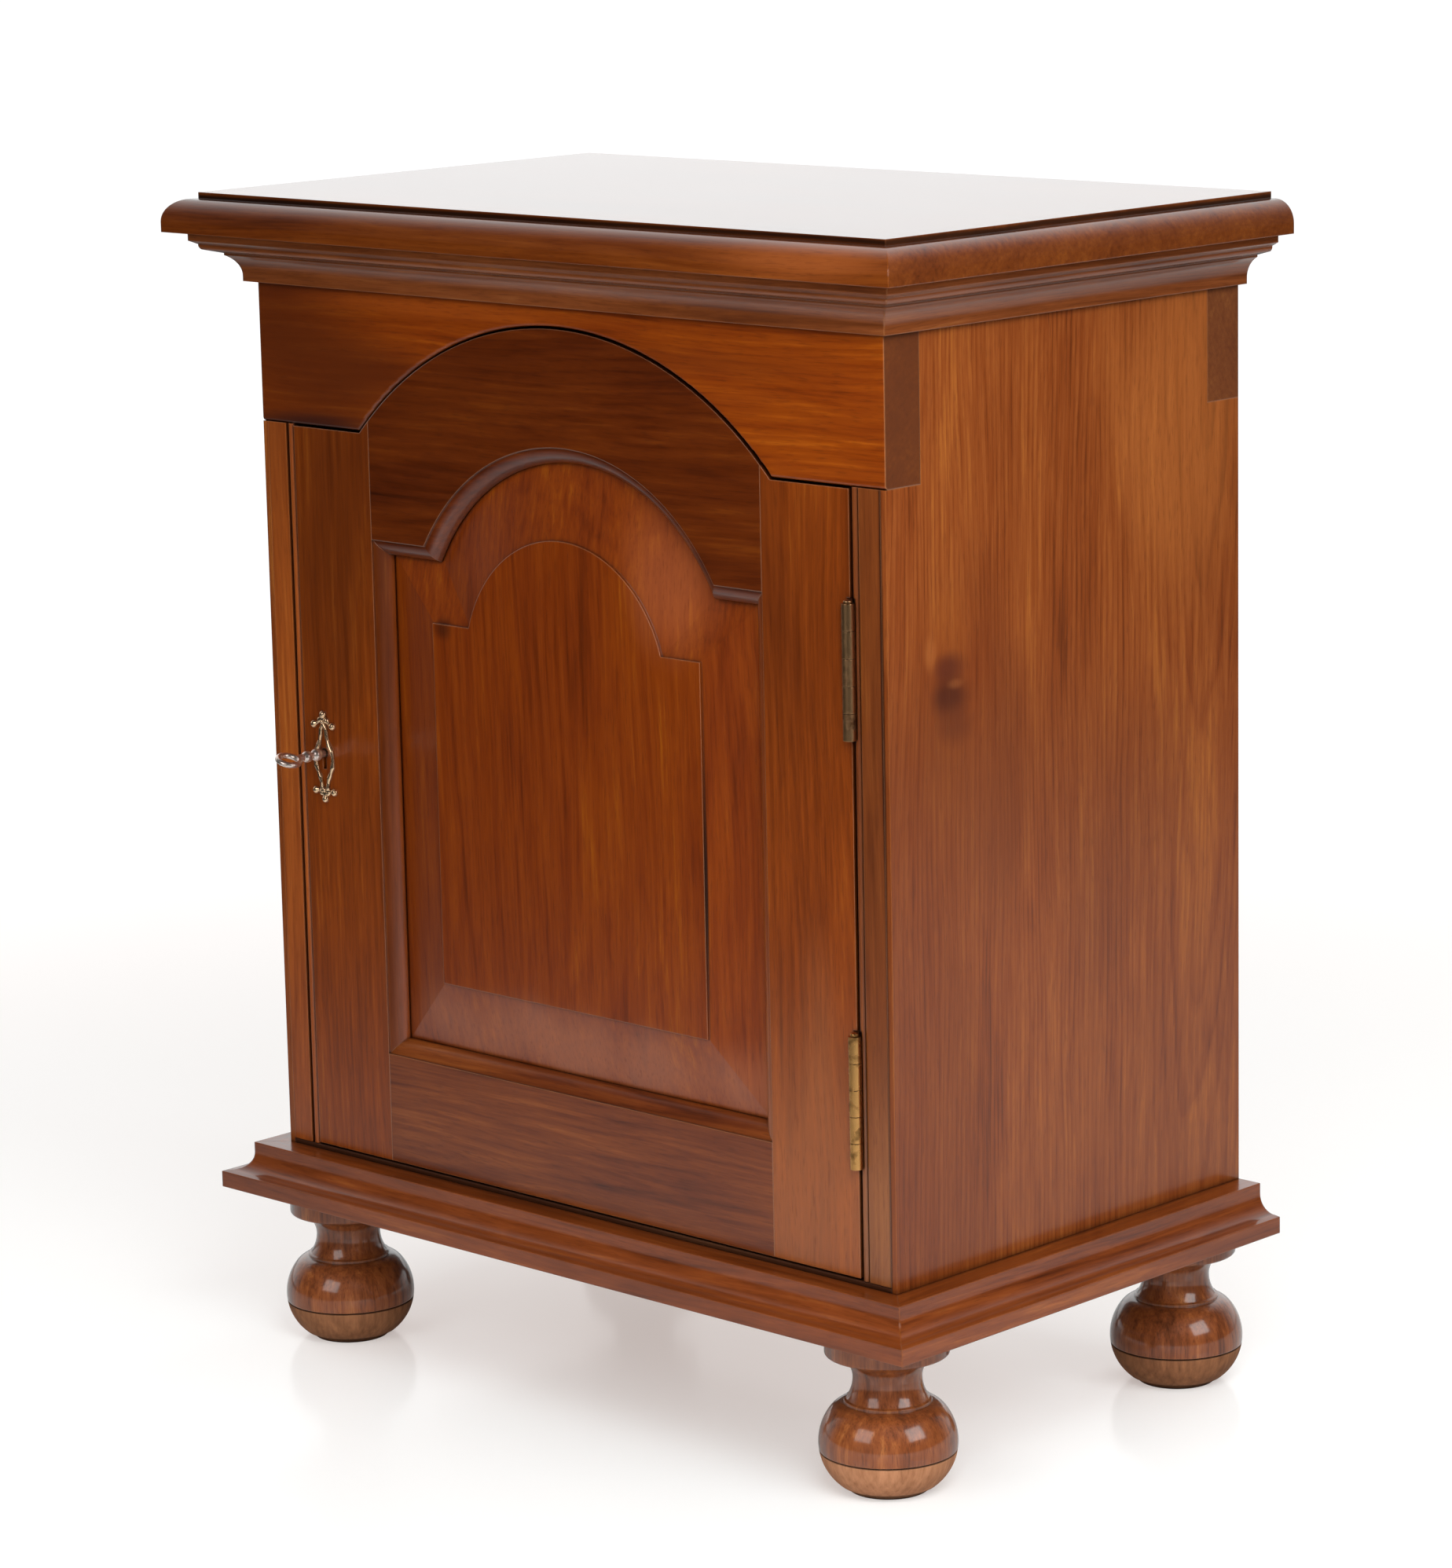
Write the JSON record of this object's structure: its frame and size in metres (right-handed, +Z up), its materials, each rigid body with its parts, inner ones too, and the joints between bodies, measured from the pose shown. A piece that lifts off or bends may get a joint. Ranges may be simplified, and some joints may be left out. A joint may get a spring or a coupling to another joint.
{
  "type": "cabinet on stand",
  "caption": "Small wooden cabinet on turned ball feet, with an arched fielded-panel door, moulded top and base, brass butt hinges, a pierced escutcheon and a working lock and key.",
  "frame": {"origin": "under the middle of the bounding box, on the floor", "axes": "+Z up; the door faces -Y; +X is the hinge side, on the right of someone who faces the door"},
  "size_m": [0.5752, 0.3536, 0.7],
  "materials": {
    "top_wood": "varnished, satin gloss",
    "frieze_wood": "varnished, satin gloss",
    "side_wood": "varnished, satin gloss",
    "frame_wood": "varnished, satin gloss",
    "moulding_wood": "varnished, satin gloss",
    "base_wood": "varnished, satin gloss",
    "foot_wood": "varnished and worn",
    "door_wood": "varnished, satin gloss",
    "panel_wood": "varnished, satin gloss",
    "inner_wood": "bare, planed",
    "hinge_brass": "brass, rubbed bright",
    "screw_brass": "brass",
    "lock_brass": "brass, dull",
    "escutcheon_brass": "cast brass",
    "key_steel": "worn nickel-plated steel"
  },
  "bodies": {
    "cabinet": {"top_board": "top_wood", "frieze_rail": "frieze_wood", "back_rail": "inner_wood", "side_left": "side_wood", "side_right": "side_wood", "frame_stile_left": "frame_wood", "frame_stile_right": "frame_wood", "cornice_front": "moulding_wood", "cornice_left": "moulding_wood", "cornice_right": "moulding_wood", "bottom_board": "frame_wood", "shelf": "inner_wood", "back_board_1": "inner_wood", "back_board_2": "inner_wood", "back_board_3": "inner_wood", "back_board_4": "inner_wood", "base_front": "base_wood", "base_left": "base_wood", "base_right": "base_wood", "base_back": "inner_wood", "foot_front_left": "foot_wood", "foot_front_right": "foot_wood", "foot_back_left": "foot_wood", "foot_back_right": "foot_wood", "hinge_upper_frame_leaf": "hinge_brass", "hinge_upper_pin": "hinge_brass", "hinge_lower_frame_leaf": "hinge_brass", "hinge_lower_pin": "hinge_brass", "hinge_screws_frame": "screw_brass", "strike_plate": "lock_brass", "strike_screws": "screw_brass"},
    "door": {"door_stile_left": "door_wood", "door_stile_right": "door_wood", "door_top_rail": "door_wood", "door_bottom_rail": "door_wood", "door_panel": "panel_wood", "hinge_upper_door_leaf": "hinge_brass", "hinge_lower_door_leaf": "hinge_brass", "hinge_screws_door": "screw_brass", "lock_case": "lock_brass", "lock_cap": "lock_brass", "lock_screws": "screw_brass", "escutcheon": "escutcheon_brass", "escutcheon_pins": "escutcheon_brass"},
    "key": {"key": "key_steel"},
    "bolt": {"lock_bolt": "lock_brass"}
  },
  "joints": [
    {"name": "door_swing", "type": "hinge", "parent": "cabinet", "child": "door", "pos_m": [0.22195, -0.1397, 0.3445], "axis": [0, 0, 1], "range_deg": [0, 175]},
    {"name": "key_turn", "type": "hinge", "parent": "door", "child": "key", "pos_m": [-0.2045, -0.1372, 0.3678], "axis": [0, -1, 0], "range_deg": [0, 180]},
    {"name": "bolt_throw", "type": "slide", "parent": "door", "child": "bolt", "axis": [-1, 0, 0], "range_m": [0, 0.008]}
  ],
  "couplings": [
    {"joint": "bolt_throw", "follows": "key_turn", "m_per_rad": 0.0025465}
  ]
}
